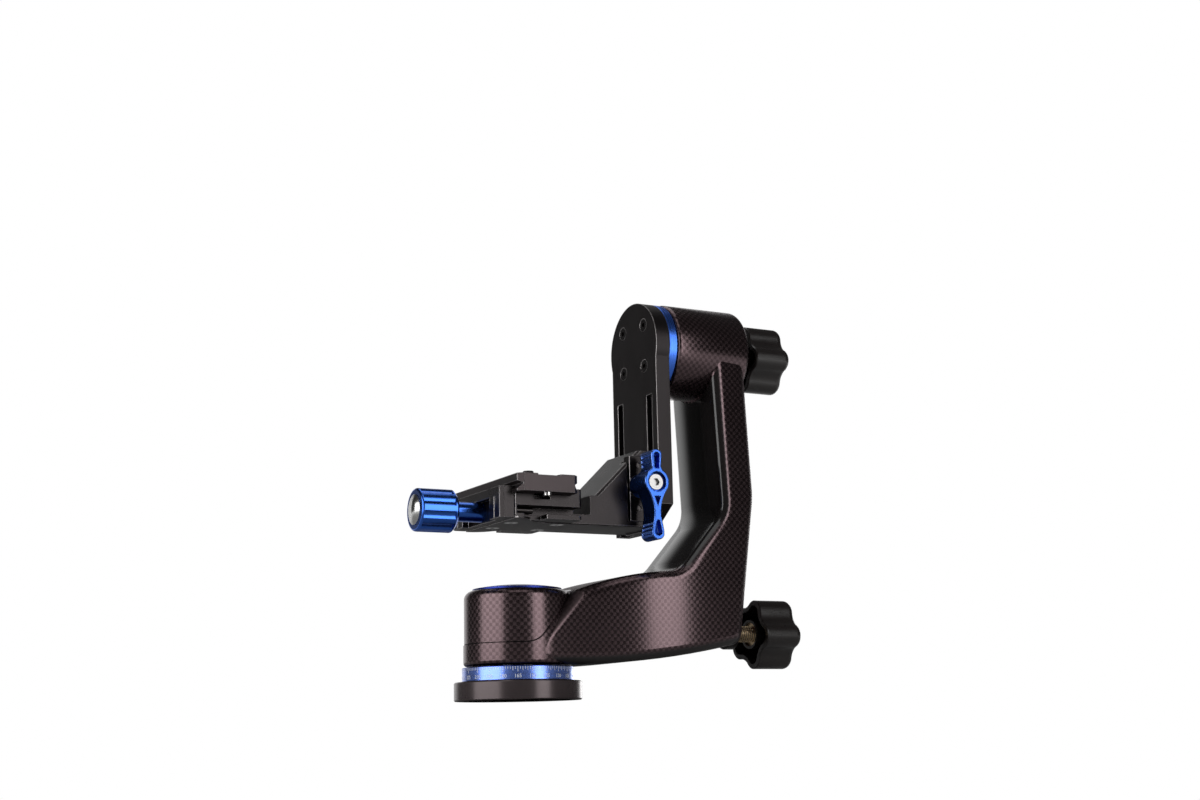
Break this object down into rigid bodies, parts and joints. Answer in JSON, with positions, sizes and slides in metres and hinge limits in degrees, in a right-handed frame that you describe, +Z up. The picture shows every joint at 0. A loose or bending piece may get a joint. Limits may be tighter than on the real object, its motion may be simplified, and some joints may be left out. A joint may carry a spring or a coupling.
{
  "type": "gimbal tripod head",
  "caption": "Side-mount gimbal head for a long lens: panning carbon L arm, tilting swing plate, height-adjustable bracket with quick-release clamp and lens plate.",
  "frame": {"origin": "centre of the tripod thread at the underside of the base, on the pan axis", "axes": "+Z up the pan axis, +X from the pan axis to the arm's upright, -Y the way the lens looks"},
  "size_m": [0.252, 0.1, 0.2445],
  "materials": {
    "carbon": "woven carbon under clear coat",
    "black_anodised": "black anodised, fine satin",
    "blue_anodised": "blue anodised, satin",
    "plain_aluminium": "machined",
    "steel": "turned steel",
    "black_steel": "black oxide steel",
    "brass": "turned brass",
    "knob_plastic": "black moulded, satin",
    "rubber": "matt rubber"
  },
  "bodies": {
    "base": {"base_flange": "black_anodised", "base_screws": "black_steel", "thread_bush": "steel", "scale_ring": "blue_anodised", "pan_spindle": "plain_aluminium", "pan_brake_collar": "steel", "pan_bearings_inner": "steel", "pan_nut": "steel", "pan_washer": "steel"},
    "arm": {"arm": "carbon", "pan_sleeve": "plain_aluminium", "pan_bearings_outer": "steel", "hub_cap": "blue_anodised", "pan_lock_bush": "black_anodised", "tilt_sleeve": "plain_aluminium", "tilt_bearings_outer": "steel", "tilt_end_cap": "black_anodised"},
    "pan_shoe": {"pan_brake_shoe": "brass", "pan_push_rod": "steel"},
    "pan_lock": {"pan_lock_screw": "brass", "pan_knob": "knob_plastic", "pan_knob_insert": "brass"},
    "swing": {"swing_plate": "black_anodised", "plate_screws": "black_steel", "tilt_shaft": "plain_aluminium", "tilt_ring": "blue_anodised", "tilt_bearings_inner": "steel", "tilt_spacer": "steel", "tilt_washer": "steel", "tilt_nut": "steel"},
    "tilt_pad": {"tilt_brake_pad": "brass"},
    "tilt_lock": {"tilt_lock_screw": "brass", "tilt_knob": "knob_plastic", "tilt_knob_insert": "brass"},
    "bracket": {"bracket": "black_anodised", "height_guide_pins": "steel", "clamp_body": "black_anodised", "clamp_screws": "black_steel", "clamp_guide_pins": "steel"},
    "height_jaw": {"height_jaw": "black_anodised", "lever_washer": "steel"},
    "lever": {"lever_knob": "blue_anodised", "lever_screw": "steel"},
    "qr_jaw": {"qr_jaw": "black_anodised"},
    "qr_knob": {"qr_knob": "blue_anodised", "qr_screw": "black_steel", "qr_knob_cap": "steel"},
    "lens_plate": {"lens_plate": "black_anodised", "rubber_pads": "rubber", "stop_screws": "steel"},
    "lens_screw_front": {"lens_screw_front": "black_steel"},
    "lens_screw_back": {"lens_screw_back": "black_steel"}
  },
  "joints": [
    {"name": "pan", "type": "hinge", "parent": "base", "child": "arm", "pos_m": [0, 0, 0.04], "axis": [0, 0, 1], "continuous": true},
    {"name": "pan_lock_feed", "type": "slide", "parent": "arm", "child": "pan_shoe", "axis": [1, 0, 0], "range_m": [0, 0.00225]},
    {"name": "pan_knob_turn", "type": "hinge", "parent": "pan_shoe", "child": "pan_lock", "pos_m": [0.17, 0, 0.0395], "axis": [1, 0, 0], "range_deg": [0, 540]},
    {"name": "tilt", "type": "hinge", "parent": "arm", "child": "swing", "pos_m": [0.115, 0, 0.215], "axis": [1, 0, 0], "continuous": true},
    {"name": "tilt_lock_feed", "type": "slide", "parent": "arm", "child": "tilt_pad", "axis": [1, 0, 0], "range_m": [0, 0.00225]},
    {"name": "tilt_knob_turn", "type": "hinge", "parent": "tilt_pad", "child": "tilt_lock", "pos_m": [0.17, 0, 0.215], "axis": [1, 0, 0], "range_deg": [0, 540]},
    {"name": "height", "type": "slide", "parent": "swing", "child": "bracket", "axis": [0, 0, 1], "range_m": [0, 0.034]},
    {"name": "height_jaw_feed", "type": "slide", "parent": "bracket", "child": "height_jaw", "axis": [0, -1, 0], "range_m": [0, 0.0015]},
    {"name": "lever_turn", "type": "hinge", "parent": "height_jaw", "child": "lever", "pos_m": [0.0724, -0.035, 0.1255], "axis": [0, -1, 0], "range_deg": [0, 540]},
    {"name": "qr_jaw_feed", "type": "slide", "parent": "bracket", "child": "qr_jaw", "axis": [-1, 0, 0], "range_m": [0, 0.004]},
    {"name": "qr_knob_turn", "type": "hinge", "parent": "qr_jaw", "child": "qr_knob", "pos_m": [-0.05, 0, 0.108], "axis": [-1, 0, 0], "range_deg": [0, 1440]},
    {"name": "plate_slide", "type": "slide", "parent": "bracket", "child": "lens_plate", "axis": [0, 1, 0], "range_m": [-0.0215, 0.0115]},
    {"name": "lens_screw_front_turn", "type": "hinge", "parent": "lens_plate", "child": "lens_screw_front", "pos_m": [0, -0.017, 0.12], "axis": [0, 0, 1], "continuous": true},
    {"name": "lens_screw_back_turn", "type": "hinge", "parent": "lens_plate", "child": "lens_screw_back", "pos_m": [0, 0.027, 0.12], "axis": [0, 0, 1], "continuous": true}
  ],
  "couplings": [
    {"joint": "pan_knob_turn", "follows": "pan_lock_feed", "rad_per_m": 4188},
    {"joint": "tilt_knob_turn", "follows": "tilt_lock_feed", "rad_per_m": 4188},
    {"joint": "lever_turn", "follows": "height_jaw_feed", "rad_per_m": 6281.9},
    {"joint": "qr_knob_turn", "follows": "qr_jaw_feed", "rad_per_m": 6281.9}
  ]
}
